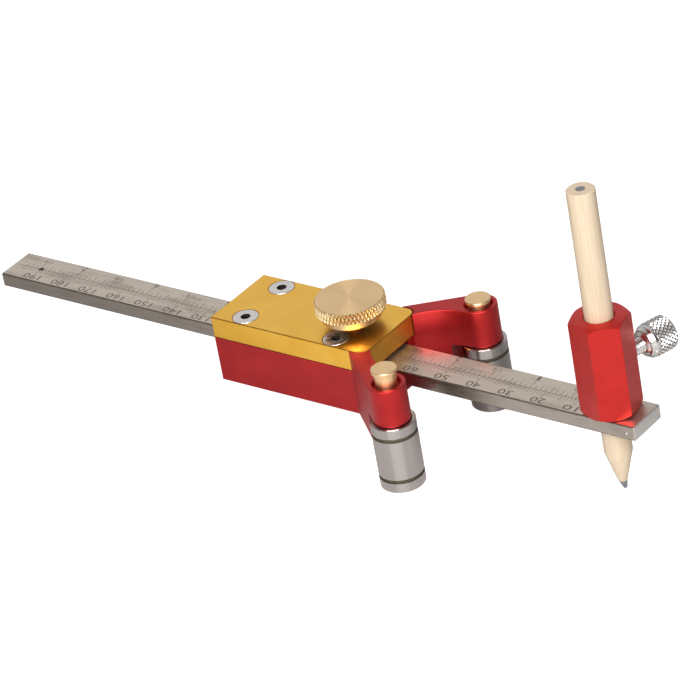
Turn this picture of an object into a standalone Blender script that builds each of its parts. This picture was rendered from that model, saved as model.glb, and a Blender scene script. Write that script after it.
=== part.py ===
"""Marking ruler with a clamping slider on two ball rollers and a hexagonal pencil holder.

Lengths are in metres, +Z is up and +X points along the ruler to its pencil end.
The origin is the middle of the ruler's end face at the pencil end.
"""
import math

import bmesh
import bpy
from mathutils import Matrix, Vector

# Fits and cutters
GAP = 0.0003
OVERRUN = 0.001
FINE_STEPS = 48
ROUND_STEPS = 36
SMALL_STEPS = 24
FILLET_STEPS = 6
SHARP_ANGLE = math.radians(35)

# Ruler beam
BEAM_LENGTH = 0.210
BEAM_WIDTH = 0.012
BEAM_THICKNESS = 0.004
BEAM_EDGE = 0.0003
COMPASS_HOLE_DIAMETER = 0.0015
COMPASS_HOLE_INSET = 0.0097
DIMPLE_DIAMETER = 0.0009
DIMPLE_DEPTH = 0.0004
DIMPLE_INSET = 0.0022

# Pencil
PENCIL_DIAMETER = 0.0074
PENCIL_LENGTH = 0.087
PENCIL_DROP = 0.0198
PENCIL_CONE_LENGTH = 0.0089
PENCIL_EDGE = 0.0003
LEAD_DIAMETER = 0.0023
LEAD_CONE_LENGTH = 0.0021
LEAD_TIP_DIAMETER = 0.0009
WOOD_TIP_WALL = 0.0001

# Hexagonal pencil holder, screwed into the beam by its spigot
PENCIL_INSET = 0.0103
HOLDER_FLATS = 0.014
HOLDER_HEIGHT = 0.0269
HOLDER_TURN = math.radians(12.4)
HOLDER_END_DIAMETER = 0.0134
HOLDER_CHAMFER_ANGLE = math.radians(35)
HOLDER_BORE_EDGE = 0.0003
SPIGOT_WALL = 0.0007

# Thumb screw in the back face of the holder, at half its height
THUMB_TURN = HOLDER_TURN + math.radians(60)
THUMB_DROP = 0.0141
THUMB_SHANK_DIAMETER = 0.004
THUMB_TIP_EDGE = 0.0005
THUMB_NECK_LENGTH = 0.0044
THUMB_FLARE_DIAMETER = 0.0048
THUMB_FLARE_LENGTH = 0.0015
THUMB_RIM_DIAMETER = 0.0088
THUMB_RIM_WIDTH = 0.0012
THUMB_HEAD_DIAMETER = 0.0094
THUMB_HEAD_LENGTH = 0.006
THUMB_HEAD_EDGE = 0.0004

# Slider block
SLIDER_INSET = 0.0784
BLOCK_LENGTH = 0.0509
BLOCK_WIDTH = 0.0236
BLOCK_DEPTH = 0.0085
BLOCK_EDGE = 0.0003
CORNER_RADIUS = 0.004
CHANNEL_HEADROOM = 0.0008

# Roller arms, machined in one piece with the block
ROLLER_REACH = 0.0136
ROLLER_SPREAD = 0.0416
BOSS_DIAMETER = 0.010
BOSS_HEIGHT = 0.01065
ARM_OUTER_ANGLE = math.radians(39.5)
ARM_OUTER_FILLET = 0.0015
ARM_INNER_RADIUS = 0.017
RELIEF_DIAMETER = 0.0176
RELIEF_FORWARD = 0.0013
RELIEF_INWARD = 0.0015

# Cover plate and its screws
PLATE_THICKNESS = 0.006
PLATE_EDGE = 0.00025
SCREW_SPACING_LONG = 0.030
SCREW_BACK_INSET = 0.009
SCREW_HEAD_DIAMETER = 0.0075
SCREW_HEAD_EDGE = 0.0003
SCREW_SUNK = 0.0002
SCREW_CORE_WALL_SHARE = 34 / 55
SCREW_LENGTH = 0.014
SCREW_TIP_EDGE = 0.0004
SCREW_SOCKET_FLATS = 0.0025
SCREW_SOCKET_DEPTH = 0.0016

# Lock knob and the strip that it presses on the beam
KNOB_DIAMETER = 0.019
KNOB_RIM_HEIGHT = 0.0043
KNOB_EDGE = 0.0004
KNOB_TOP_RISE = 0.00825
KNOB_FLARE_HEIGHT = 0.0012
KNOB_UNDER_DIAMETER = 0.0132
STUD_DIAMETER = 0.005
STUD_TIP_EDGE = 0.0006
STRIP_LENGTH = 0.020
STRIP_WIDTH = 0.010
STRIP_THICKNESS = 0.0008
STRIP_TRAVEL = 0.0006

# Roller: a linear ball bearing that turns on a brass pin
ROLLER_DIAMETER = 0.012
ROLLER_LENGTH = 0.019
ROLLER_EDGE = 0.0003
ROLLER_GROOVE_SPACING = 0.0135
ROLLER_GROOVE_WIDTH = 0.0011
ROLLER_GROOVE_DEPTH = 0.0003
SLEEVE_WALL = 0.001
SEAL_RECESS = 0.0008
SEAL_THICKNESS = 0.001
BALL_DIAMETER = 0.0015
BALL_LIP = 0.0001
BALL_PITCH = 0.00185
BALLS_PER_TRACK = 5
BALL_ROWS = 4
BALL_TRACKS = 4

# Roller pins; each stands as high as it was last pulled or pushed
PIN_DIAMETER = 0.0058
PIN_LENGTH = 0.030
PIN_END_EDGE = 0.0005
PIN_HEAD_DIAMETER = 0.0069
PIN_HEAD_HEIGHT = 0.001
PIN_HEAD_EDGE = 0.00015
PIN_LIFT_NEAR = 0.00435
PIN_LIFT_FAR = 0.00175
PIN_SEAT_DEPTH = 0.0015
PIN_SEAT_DIAMETER = 0.0076

# Places that follow from the sizes above
BEAM_TOP = BEAM_THICKNESS / 2
PENCIL_X = -PENCIL_INSET
BLOCK_FRONT = -SLIDER_INSET
BLOCK_BACK = BLOCK_FRONT - BLOCK_LENGTH
BLOCK_BOTTOM = -BEAM_TOP - BLOCK_DEPTH
SEAM = BEAM_TOP + CHANNEL_HEADROOM
BLOCK_TOP = SEAM - GAP / 2
PLATE_BOTTOM = SEAM + GAP / 2
PLATE_TOP = PLATE_BOTTOM + PLATE_THICKNESS
BOSS_BOTTOM = PLATE_TOP - BOSS_HEIGHT
ROLLER_X = BLOCK_FRONT + ROLLER_REACH
ROLLER_Y = ROLLER_SPREAD / 2
ROLLER_TOP = BOSS_BOTTOM - GAP
CHANNEL_HALF = BEAM_WIDTH / 2 + GAP
SIDE_WALL = BLOCK_WIDTH / 2 - CHANNEL_HALF
SCREW_CORE_DIAMETER = SIDE_WALL * SCREW_CORE_WALL_SHARE
SCREW_Y = CHANNEL_HALF + SCREW_CORE_DIAMETER / 2
SCREW_XS = (BLOCK_BACK + SCREW_BACK_INSET, BLOCK_BACK + SCREW_BACK_INSET + SCREW_SPACING_LONG)
SCREW_YS = (-SCREW_Y, SCREW_Y)
KNOB_X = SCREW_XS[1]
STRIP_BOTTOM = BEAM_TOP + GAP
HOLDER_BOTTOM = BEAM_TOP + GAP
HOLDER_TOP = HOLDER_BOTTOM + HOLDER_HEIGHT


def clear_scene():
    for old in list(bpy.data.objects):
        bpy.data.objects.remove(old, do_unlink=True)


def finish(name, colour, roughness, metallic):
    """A plain surface finish for the sub-part of that name."""
    made = bpy.data.materials.new(name)
    made.use_nodes = True
    shader = made.node_tree.nodes["Principled BSDF"]
    shader.inputs["Base Color"].default_value = (*colour, 1)
    shader.inputs["Roughness"].default_value = roughness
    shader.inputs["Metallic"].default_value = metallic
    made.diffuse_color = (*colour, 1)
    return made


def add(name, mesh, material=None, place=(0, 0, 0), parent=None):
    """Puts a mesh in the scene at a place measured from its parent."""
    made = bpy.data.objects.new(name, mesh)
    bpy.context.scene.collection.objects.link(made)
    made.location = place
    made.parent = parent
    if material:
        mesh.materials.clear()
        mesh.materials.append(material)
    return made


def empty(name, place, parent=None):
    made = bpy.data.objects.new(name, None)
    bpy.context.scene.collection.objects.link(made)
    made.location = place
    made.parent = parent
    return made


def to_mesh(form, name):
    """Closes a bmesh with its faces pointing out, shades it and turns it into a mesh."""
    bmesh.ops.recalc_face_normals(form, faces=form.faces)
    mesh = bpy.data.meshes.new(name)
    form.to_mesh(mesh)
    form.free()
    mesh.shade_smooth()
    mesh.set_sharp_from_angle(angle=SHARP_ANGLE)
    return mesh


def turned(name, profile, steps=ROUND_STEPS, ring=False):
    """Revolves (radius, height) points about Z. A ring's profile is a closed loop off the axis."""
    form = bmesh.new()
    points = [form.verts.new((radius, 0, height)) for radius, height in profile]
    edges = [form.edges.new(pair) for pair in zip(points, points[1:])]
    if ring:
        edges.append(form.edges.new((points[-1], points[0])))
    bmesh.ops.spin(form, geom=points + edges, cent=(0, 0, 0), axis=(0, 0, 1), angle=math.tau,
                   steps=steps, use_merge=True)
    bmesh.ops.remove_doubles(form, verts=form.verts, dist=GAP / 100)
    return to_mesh(form, name)


def prism(name, outline, bottom, top):
    """Extrudes a plan outline between two heights."""
    form = bmesh.new()
    face = form.faces.new([form.verts.new((x, y, bottom)) for x, y in outline])
    raised = bmesh.ops.extrude_face_region(form, geom=[face])["geom"]
    moved = [item for item in raised if isinstance(item, bmesh.types.BMVert)]
    bmesh.ops.translate(form, verts=moved, vec=(0, 0, top - bottom))
    return to_mesh(form, name)


def box_outline(x_low, x_high, width):
    half = width / 2
    return [(x_low, -half), (x_high, -half), (x_high, half), (x_low, half)]


def rod(name, diameter, bottom, top, steps=SMALL_STEPS):
    radius = diameter / 2
    return turned(name, [(0, bottom), (radius, bottom), (radius, top), (0, top)], steps)


def arc(centre, radius, start, end, steps=FILLET_STEPS):
    """Points of an arc in plan, both ends included."""
    turn = (end - start) / steps
    angles = [start + turn * step for step in range(steps + 1)]
    return [(centre[0] + radius * math.cos(angle), centre[1] + radius * math.sin(angle)) for angle in angles]


def combine(target, tool, operation="DIFFERENCE"):
    """Cuts a tool body from the target, or joins or intersects the two."""
    tool.hide_render = True
    tool.display_type = "WIRE"
    step = target.modifiers.new(tool.name, "BOOLEAN")
    step.operation = operation
    step.solver = "EXACT"
    step.object = tool
    return target


def soften(target, width, segments=1):
    """Breaks the sharp edges that the target has so far."""
    step = target.modifiers.new("edge", "BEVEL")
    step.width = width
    step.segments = segments
    step.limit_method = "ANGLE"
    step.angle_limit = math.radians(50)
    step.use_clamp_overlap = True
    return target


def evaluated_mesh(target):
    """The target's mesh with its modifiers applied, shaded like the rest."""
    graph = bpy.context.evaluated_depsgraph_get()
    mesh = bpy.data.meshes.new_from_object(target.evaluated_get(graph))
    mesh.shade_smooth()
    mesh.set_sharp_from_angle(angle=SHARP_ANGLE)
    return mesh


def mirrored(outline):
    """Adds the other half of a plan outline that runs from back to front at +Y."""
    return outline + [(x, -y) for x, y in reversed(outline)]


def plate_outline(grown=0.0, back=BLOCK_BACK):
    """The cover plate in plan, grown by a clearance, with round front corners."""
    half = BLOCK_WIDTH / 2
    centre = (BLOCK_FRONT - CORNER_RADIUS, half - CORNER_RADIUS)
    return mirrored([(back, half + grown)] + arc(centre, CORNER_RADIUS + grown, math.pi / 2, 0))


def block_outline():
    """The slider block with both arms in plan."""
    half = BLOCK_WIDTH / 2
    boss = Vector((ROLLER_X, ROLLER_Y))
    radius = BOSS_DIAMETER / 2
    out = Vector((-math.sin(ARM_OUTER_ANGLE), math.cos(ARM_OUTER_ANGLE)))
    reach = out.dot(boss) + radius + ARM_OUTER_FILLET
    fillet_y = half + ARM_OUTER_FILLET
    fillet_x = (out.y * fillet_y - reach) / -out.x
    points = [(BLOCK_BACK, half)]
    points += arc((fillet_x, fillet_y), ARM_OUTER_FILLET, -math.pi / 2, -math.pi / 2 + ARM_OUTER_ANGLE)
    points += arc(boss, radius, math.pi / 2 + ARM_OUTER_ANGLE, -math.pi / 2, ROUND_STEPS // 2)
    inner = (boss.x, boss.y - radius - ARM_INNER_RADIUS)
    root = math.asin((boss.x - BLOCK_FRONT) / ARM_INNER_RADIUS)
    points += arc(inner, ARM_INNER_RADIUS, math.pi / 2, math.pi / 2 + root)[1:]
    return mirrored(points)


def make_beam():
    half = BEAM_THICKNESS / 2
    steel = finish("beam steel", (0.56, 0.53, 0.50), 0.38, 1.0)
    mesh = prism("ruler_beam", box_outline(-BEAM_LENGTH, 0, BEAM_WIDTH), -half, half)
    beam = soften(add("ruler_beam", mesh, steel), BEAM_EDGE)
    spigot_hole = PENCIL_DIAMETER + 2 * (GAP + SPIGOT_WALL + GAP)
    cuts = (("spigot hole", spigot_hole, PENCIL_X), ("compass hole", COMPASS_HOLE_DIAMETER,
                                                     COMPASS_HOLE_INSET - BEAM_LENGTH))
    for name, diameter, x in cuts:
        combine(beam, add(name, rod(name, diameter, -half - OVERRUN, half + OVERRUN), place=(x, 0, 0)))
    dimple = add("dimple", rod("dimple", DIMPLE_DIAMETER, -DIMPLE_DEPTH, DIMPLE_DEPTH, FILLET_STEPS * 2))
    dimple.location = (-DIMPLE_INSET, -BEAM_WIDTH / 2, 0)
    dimple.rotation_euler = (math.pi / 2, 0, 0)
    combine(beam, dimple)
    return beam


def make_holder(thumb_z):
    """Hexagonal bar with turned end chamfers, a spigot into the beam and a bore for the pencil."""
    red = finish("holder anodising", (0.55, 0.03, 0.025), 0.32, 0.9)
    corner = HOLDER_FLATS / 2 / math.cos(math.pi / 6)
    end = HOLDER_END_DIAMETER / 2
    wide = corner + OVERRUN
    slope = (wide - end) * math.tan(HOLDER_CHAMFER_ANGLE)
    barrel = [(0, HOLDER_BOTTOM), (end, HOLDER_BOTTOM), (wide, HOLDER_BOTTOM + slope),
              (wide, HOLDER_TOP - slope), (end, HOLDER_TOP), (0, HOLDER_TOP)]
    hexagon = arc((0, 0), corner, math.pi / 6, math.pi / 6 + math.tau * 5 / 6, 5)
    centre = empty("holder_axis", (PENCIL_X, 0, 0))
    bar = prism("pencil_holder", hexagon, HOLDER_BOTTOM - OVERRUN, HOLDER_TOP + OVERRUN)
    hold = add("pencil_holder", bar, red, parent=centre)
    hold.rotation_euler = (0, 0, HOLDER_TURN)
    combine(hold, add("turned ends", turned("turned ends", barrel, FINE_STEPS), parent=centre), "INTERSECT")
    bore = PENCIL_DIAMETER + 2 * GAP
    spigot = rod("spigot", bore + 2 * SPIGOT_WALL, -BEAM_TOP, HOLDER_BOTTOM + OVERRUN, ROUND_STEPS)
    combine(hold, add("spigot", spigot, parent=centre), "UNION")
    inner = bore / 2
    mouth = inner + HOLDER_BORE_EDGE
    bore_profile = [(0, -BEAM_TOP - OVERRUN), (inner, -BEAM_TOP - OVERRUN),
                    (inner, HOLDER_TOP - HOLDER_BORE_EDGE), (mouth, HOLDER_TOP),
                    (mouth, HOLDER_TOP + OVERRUN), (0, HOLDER_TOP + OVERRUN)]
    combine(hold, add("pencil bore", turned("pencil bore", bore_profile), parent=centre))
    tapped = rod("tapped hole", THUMB_SHANK_DIAMETER + 2 * GAP, 0, corner + OVERRUN)
    hole = add("tapped hole", tapped, place=(0, 0, thumb_z), parent=centre)
    hole.rotation_euler = (0, math.pi / 2, THUMB_TURN)
    combine(hold, hole)
    return hold


def make_thumb_screw(thumb_z):
    """Turned and knurled screw; its own axis is the direction that it points out of the holder."""
    nickel = finish("bright nickel", (0.78, 0.76, 0.74), 0.16, 1.0)
    shank = THUMB_SHANK_DIAMETER / 2
    start = PENCIL_DIAMETER / 2 + GAP
    neck = HOLDER_FLATS / 2 + THUMB_NECK_LENGTH
    flare = neck + THUMB_FLARE_LENGTH
    head = flare + THUMB_RIM_WIDTH
    tip = head + THUMB_HEAD_LENGTH
    rim = THUMB_RIM_DIAMETER / 2
    head_radius = THUMB_HEAD_DIAMETER / 2
    profile = [(0, start), (shank - THUMB_TIP_EDGE, start), (shank, start + THUMB_TIP_EDGE), (shank, neck),
               (THUMB_FLARE_DIAMETER / 2, neck), (rim, flare), (rim, head),
               (head_radius, head + head_radius - rim), (head_radius, tip - THUMB_HEAD_EDGE),
               (head_radius - THUMB_HEAD_EDGE, tip), (0, tip)]
    screw = add("thumb_screw", turned("thumb_screw", profile, ROUND_STEPS), nickel, (PENCIL_X, 0, thumb_z))
    screw.rotation_euler = (0, math.pi / 2, THUMB_TURN)
    return screw


def make_pencil():
    """Round wooden pencil; the lead runs through it and makes the blunt point."""
    radius = PENCIL_DIAMETER / 2
    lead = LEAD_DIAMETER / 2
    bottom = -BEAM_TOP - PENCIL_DROP
    top = bottom + PENCIL_LENGTH
    cone_end = bottom + LEAD_CONE_LENGTH
    cone_top = cone_end + PENCIL_CONE_LENGTH
    bore = lead + GAP
    wood_tip = bore + WOOD_TIP_WALL
    wood_end = cone_end + PENCIL_CONE_LENGTH * (wood_tip - lead) / (radius - lead)
    wood_profile = [(bore, top), (bore, wood_end), (wood_tip, wood_end), (radius, cone_top),
                    (radius, top - PENCIL_EDGE), (radius - PENCIL_EDGE, top)]
    lead_profile = [(0, bottom), (LEAD_TIP_DIAMETER / 2, bottom), (lead, cone_end), (lead, top), (0, top)]
    axis = empty("pencil_axis", (PENCIL_X, 0, 0))
    wood = finish("bare pencil wood", (0.86, 0.74, 0.56), 0.6, 0.0)
    graphite = finish("graphite", (0.07, 0.07, 0.08), 0.4, 0.2)
    add("pencil_wood", turned("pencil_wood", wood_profile, ROUND_STEPS, ring=True), wood, parent=axis)
    add("pencil_lead", turned("pencil_lead", lead_profile, FILLET_STEPS * 2), graphite, parent=axis)


def make_block():
    """Slider block and both arms, cut for the beam, the plate, the screws, the pins and the rollers."""
    red = finish("block anodising", (0.42, 0.025, 0.03), 0.36, 0.9)
    slider = empty("slider_origin", (0, 0, 0))
    mesh = prism("slider_block", block_outline(), BLOCK_BOTTOM, PLATE_TOP)
    block = soften(add("slider_block", mesh, red, parent=slider), BLOCK_EDGE)
    nest = prism("plate nest", plate_outline(GAP, BLOCK_BACK - OVERRUN), BLOCK_TOP, PLATE_TOP + OVERRUN)
    combine(block, add("plate nest", nest, parent=slider))
    channel = box_outline(BLOCK_BACK - OVERRUN, BLOCK_FRONT + OVERRUN, 2 * CHANNEL_HALF)
    combine(block, add("beam channel", prism("beam channel", channel, -BEAM_TOP - GAP, BLOCK_TOP + OVERRUN),
                       parent=slider))
    tip = PLATE_TOP - SCREW_SUNK - SCREW_LENGTH
    tapped = rod("tapped hole", SCREW_CORE_DIAMETER + 2 * GAP, tip - GAP, BLOCK_TOP + OVERRUN)
    for x in SCREW_XS:
        for y in SCREW_YS:
            combine(block, add("cover screw hole", tapped, place=(x, y, 0), parent=slider))
    relief = rod("roller relief", RELIEF_DIAMETER, BLOCK_BOTTOM - OVERRUN, BOSS_BOTTOM, ROUND_STEPS)
    bore = PIN_DIAMETER / 2 + GAP
    seat = PIN_SEAT_DIAMETER / 2
    seat_floor = PLATE_TOP - PIN_SEAT_DEPTH
    pin_profile = [(0, BOSS_BOTTOM - OVERRUN), (bore, BOSS_BOTTOM - OVERRUN), (bore, seat_floor),
                   (seat, seat_floor), (seat, PLATE_TOP + OVERRUN), (0, PLATE_TOP + OVERRUN)]
    pin_bore = turned("pin bore", pin_profile)
    for side in (-1, 1):
        place = (ROLLER_X + RELIEF_FORWARD, side * (ROLLER_Y - RELIEF_INWARD), 0)
        combine(block, add("roller relief", relief, place=place, parent=slider))
        combine(block, add("pin bore", pin_bore, place=(ROLLER_X, side * ROLLER_Y, 0), parent=slider))
    return slider


def make_plate(slider):
    """Cover plate with countersunk screw holes, the tapped knob hole and the strip's pocket beneath."""
    gold = finish("gold anodising", (0.66, 0.38, 0.08), 0.34, 0.9)
    plate = soften(add("cover_plate", prism("cover_plate", plate_outline(), PLATE_BOTTOM, PLATE_TOP), gold,
                       parent=slider), PLATE_EDGE)
    core = SCREW_CORE_DIAMETER / 2 + GAP
    mouth = SCREW_HEAD_DIAMETER / 2 + GAP
    cone_gap = GAP * math.sqrt(2)
    head_edge = PLATE_TOP - SCREW_SUNK - SCREW_HEAD_EDGE
    land = head_edge - (SCREW_HEAD_DIAMETER / 2 + cone_gap - mouth)
    sink_profile = [(0, PLATE_BOTTOM - OVERRUN), (core, PLATE_BOTTOM - OVERRUN),
                    (core, land - (mouth - core)), (mouth, land), (mouth, PLATE_TOP + OVERRUN),
                    (0, PLATE_TOP + OVERRUN)]
    sink = turned("countersink", sink_profile, SMALL_STEPS)
    for x in SCREW_XS:
        for y in SCREW_YS:
            combine(plate, add("countersink", sink, place=(x, y, 0), parent=slider))
    knob_hole = rod("knob hole", STUD_DIAMETER + 2 * GAP, PLATE_BOTTOM - OVERRUN, PLATE_TOP + OVERRUN)
    combine(plate, add("knob hole", knob_hole, place=(KNOB_X, 0, 0), parent=slider))
    pocket_top = STRIP_BOTTOM + STRIP_THICKNESS + STRIP_TRAVEL + GAP
    half = STRIP_LENGTH / 2 + GAP
    pocket = box_outline(KNOB_X - half, KNOB_X + half, STRIP_WIDTH + 2 * GAP)
    combine(plate, add("strip pocket", prism("strip pocket", pocket, PLATE_BOTTOM - OVERRUN, pocket_top),
                       parent=slider))


def make_screws(slider):
    """Four countersunk screws with hexagon sockets, from one shared mesh."""
    steel = finish("zinc plated steel", (0.62, 0.61, 0.60), 0.28, 1.0)
    top = PLATE_TOP - SCREW_SUNK
    head = SCREW_HEAD_DIAMETER / 2
    core = SCREW_CORE_DIAMETER / 2
    edge = top - SCREW_HEAD_EDGE
    profile = [(0, top - SCREW_LENGTH), (core - SCREW_TIP_EDGE, top - SCREW_LENGTH),
               (core, top - SCREW_LENGTH + SCREW_TIP_EDGE), (core, edge - (head - core)), (head, edge),
               (head, top), (0, top)]
    model = add("screw model", turned("screw model", profile, SMALL_STEPS))
    corner = SCREW_SOCKET_FLATS / 2 / math.cos(math.pi / 6)
    hexagon = arc((0, 0), corner, 0, math.tau * 5 / 6, 5)
    socket = add("socket", prism("socket", hexagon, top - SCREW_SOCKET_DEPTH, top + OVERRUN))
    mesh = evaluated_mesh(combine(model, socket))
    for used in (model, socket):
        bpy.data.objects.remove(used, do_unlink=True)
    places = [(x, y) for x in SCREW_XS for y in SCREW_YS]
    for number, (x, y) in enumerate(places, 1):
        add(f"cover_screw_{number}", mesh, steel, (x, y, 0), slider)


def make_lock(slider):
    """Brass knob with its stud, and the strip under it that grips the beam."""
    brass = finish("turned brass", (0.72, 0.49, 0.24), 0.28, 1.0)
    bronze = finish("strip bronze", (0.50, 0.33, 0.18), 0.4, 1.0)
    strip_top = STRIP_BOTTOM + STRIP_THICKNESS
    half = STRIP_LENGTH / 2
    carrier = empty("lock_axis", (KNOB_X, 0, 0), slider)
    strip = prism("pressure_strip", box_outline(-half, half, STRIP_WIDTH), STRIP_BOTTOM, strip_top)
    add("pressure_strip", strip, bronze, parent=carrier)
    stud = STUD_DIAMETER / 2
    tip = strip_top + GAP
    top = PLATE_TOP + KNOB_TOP_RISE
    rim = KNOB_DIAMETER / 2
    rim_bottom = top - KNOB_RIM_HEIGHT
    under = rim_bottom - KNOB_FLARE_HEIGHT
    profile = [(0, tip), (stud - STUD_TIP_EDGE, tip), (stud, tip + STUD_TIP_EDGE), (stud, under),
               (KNOB_UNDER_DIAMETER / 2, under), (rim - KNOB_EDGE, rim_bottom), (rim, rim_bottom + KNOB_EDGE),
               (rim, top - KNOB_EDGE), (rim - KNOB_EDGE, top), (0, top)]
    add("lock_knob", turned("lock_knob", profile, FINE_STEPS), brass, parent=carrier)


def sleeve_mesh():
    """Hardened outer sleeve with its two retaining-ring grooves."""
    outer = ROLLER_DIAMETER / 2
    inner = outer - SLEEVE_WALL
    groove = outer - ROLLER_GROOVE_DEPTH
    margin = (ROLLER_LENGTH - ROLLER_GROOVE_SPACING) / 2
    wall = []
    for start in (-margin, margin + ROLLER_GROOVE_WIDTH - ROLLER_LENGTH):
        end = start - ROLLER_GROOVE_WIDTH
        wall += [(outer, start), (groove, start), (groove, end), (outer, end)]
    profile = [(inner + ROLLER_EDGE, 0), (outer - ROLLER_EDGE, 0), (outer, -ROLLER_EDGE)]
    profile += wall
    profile += [(outer, ROLLER_EDGE - ROLLER_LENGTH), (outer - ROLLER_EDGE, -ROLLER_LENGTH),
                (inner + ROLLER_EDGE, -ROLLER_LENGTH), (inner, ROLLER_EDGE - ROLLER_LENGTH),
                (inner, -ROLLER_EDGE)]
    return turned("roller_sleeve", profile, ROUND_STEPS, ring=True)


def ring_mesh(name, inner, outer, top, bottom):
    profile = [(inner, top), (outer, top), (outer, bottom), (inner, bottom)]
    return turned(name, profile, ROUND_STEPS, ring=True)


def cage_mesh(inner, outer):
    """Ball cage with a row of balls held between the lips of each track slot."""
    end = SEAL_RECESS + SEAL_THICKNESS + GAP
    cage = add("cage model", ring_mesh("cage model", inner, outer, -end, end - ROLLER_LENGTH))
    run = BALL_PITCH * (BALLS_PER_TRACK - 1) + BALL_DIAMETER
    middle = -ROLLER_LENGTH / 2
    slot = prism("track slot", box_outline(-outer - OVERRUN, outer + OVERRUN, BALL_DIAMETER - 2 * BALL_LIP),
                 middle - run / 2 - GAP, middle + run / 2 + GAP)
    tools = []
    for number in range(BALL_TRACKS // 2):
        tool = add("track slot", slot)
        tool.rotation_euler = (0, 0, math.pi * number / (BALL_TRACKS // 2))
        combine(cage, tool)
        tools.append(tool)
    radius = BALL_DIAMETER / 2
    tools.append(add("track balls", ball_mesh(inner + radius, middle - run / 2 + radius)))
    combine(cage, tools[-1], "UNION")
    mesh = evaluated_mesh(cage)
    for used in (cage, *tools):
        bpy.data.objects.remove(used, do_unlink=True)
    return mesh


def ball_mesh(track_radius, first):
    """All balls of one bearing, a row up each track from the first ball's height."""
    form = bmesh.new()
    for track in range(BALL_TRACKS):
        turn = Matrix.Rotation(math.tau * track / BALL_TRACKS, 4, "Z")
        for ball in range(BALLS_PER_TRACK):
            place = turn @ Matrix.Translation((track_radius, 0, first + BALL_PITCH * ball))
            bmesh.ops.create_uvsphere(form, u_segments=FILLET_STEPS, v_segments=BALL_ROWS,
                                      radius=BALL_DIAMETER / 2, matrix=place)
    return to_mesh(form, "track balls")


def make_rollers(slider):
    """Both rollers with their pins; everything on a side hangs from that pin's axis."""
    steel = finish("bearing steel", (0.60, 0.59, 0.58), 0.22, 1.0)
    resin = finish("cage resin", (0.05, 0.05, 0.05), 0.5, 0.0)
    rubber = finish("seal rubber", (0.025, 0.025, 0.025), 0.6, 0.0)
    brass = finish("pin brass", (0.70, 0.52, 0.30), 0.25, 1.0)
    inner = PIN_DIAMETER / 2 + GAP
    outer = ROLLER_DIAMETER / 2 - SLEEVE_WALL - GAP
    sleeve = sleeve_mesh()
    cage = cage_mesh(inner, outer)
    seal_top = ring_mesh("seal", inner, outer, -SEAL_RECESS, -SEAL_RECESS - SEAL_THICKNESS)
    seal_end = ring_mesh("seal", inner, outer, SEAL_RECESS + SEAL_THICKNESS - ROLLER_LENGTH,
                         SEAL_RECESS - ROLLER_LENGTH)
    head = PIN_HEAD_DIAMETER / 2
    shank = PIN_DIAMETER / 2
    neck = -PIN_HEAD_HEIGHT
    pin_profile = [(0, -PIN_LENGTH), (shank - PIN_END_EDGE, -PIN_LENGTH), (shank, PIN_END_EDGE - PIN_LENGTH),
                   (shank, neck), (head, neck), (head, -PIN_HEAD_EDGE), (head - PIN_HEAD_EDGE, 0), (0, 0)]
    pin = turned("roller_pin", pin_profile, SMALL_STEPS)
    for side, y, lift in (("near", -ROLLER_Y, PIN_LIFT_NEAR), ("far", ROLLER_Y, PIN_LIFT_FAR)):
        axis = empty(f"roller_axis_{side}", (ROLLER_X, y, 0), slider)
        roller = empty(f"roller_origin_{side}", (0, 0, ROLLER_TOP), axis)
        add(f"roller_sleeve_{side}", sleeve, steel, parent=roller)
        add(f"roller_cage_{side}", cage, resin, parent=roller)
        add(f"roller_seal_top_{side}", seal_top, rubber, parent=roller)
        add(f"roller_seal_bottom_{side}", seal_end, rubber, parent=roller)
        add(f"roller_pin_{side}", pin, brass, (0, 0, PLATE_TOP + lift), axis)


def main():
    clear_scene()
    thumb_z = HOLDER_TOP - THUMB_DROP
    make_beam()
    make_holder(thumb_z)
    make_thumb_screw(thumb_z)
    make_pencil()
    slider = make_block()
    make_plate(slider)
    make_screws(slider)
    make_lock(slider)
    make_rollers(slider)


main()
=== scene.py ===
"""Finishes and fine forms of the marking ruler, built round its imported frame.

Lengths are in metres and in the frame's own axes: +X runs along the ruler to its pencil end,
+Y across it to the inch scale, and +Z up along the pencil.
"""

import math

import bmesh
import bpy
from mathutils import Matrix, Quaternion, Vector


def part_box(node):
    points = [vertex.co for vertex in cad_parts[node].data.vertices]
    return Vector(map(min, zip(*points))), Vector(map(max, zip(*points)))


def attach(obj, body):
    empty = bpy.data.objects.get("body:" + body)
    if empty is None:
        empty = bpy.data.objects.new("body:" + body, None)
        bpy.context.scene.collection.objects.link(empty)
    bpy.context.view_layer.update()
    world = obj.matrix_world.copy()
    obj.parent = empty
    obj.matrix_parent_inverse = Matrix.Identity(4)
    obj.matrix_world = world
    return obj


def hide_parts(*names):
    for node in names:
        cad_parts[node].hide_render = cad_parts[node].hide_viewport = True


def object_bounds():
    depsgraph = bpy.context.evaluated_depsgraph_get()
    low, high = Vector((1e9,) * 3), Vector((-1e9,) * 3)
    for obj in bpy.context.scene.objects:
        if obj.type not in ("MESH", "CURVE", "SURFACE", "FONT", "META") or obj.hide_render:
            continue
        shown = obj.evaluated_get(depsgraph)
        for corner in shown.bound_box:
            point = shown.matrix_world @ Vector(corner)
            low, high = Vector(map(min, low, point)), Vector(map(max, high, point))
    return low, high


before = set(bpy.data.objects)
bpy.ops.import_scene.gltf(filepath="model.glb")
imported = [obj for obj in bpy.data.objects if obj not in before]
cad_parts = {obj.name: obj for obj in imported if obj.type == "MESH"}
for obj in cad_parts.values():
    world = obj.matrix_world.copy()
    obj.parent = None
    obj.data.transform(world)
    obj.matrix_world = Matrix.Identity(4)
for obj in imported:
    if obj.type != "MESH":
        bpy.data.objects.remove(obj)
cad_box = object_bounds()

MM = 0.001
SIDES = ("near", "far")
QUARTER = math.pi / 2

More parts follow.
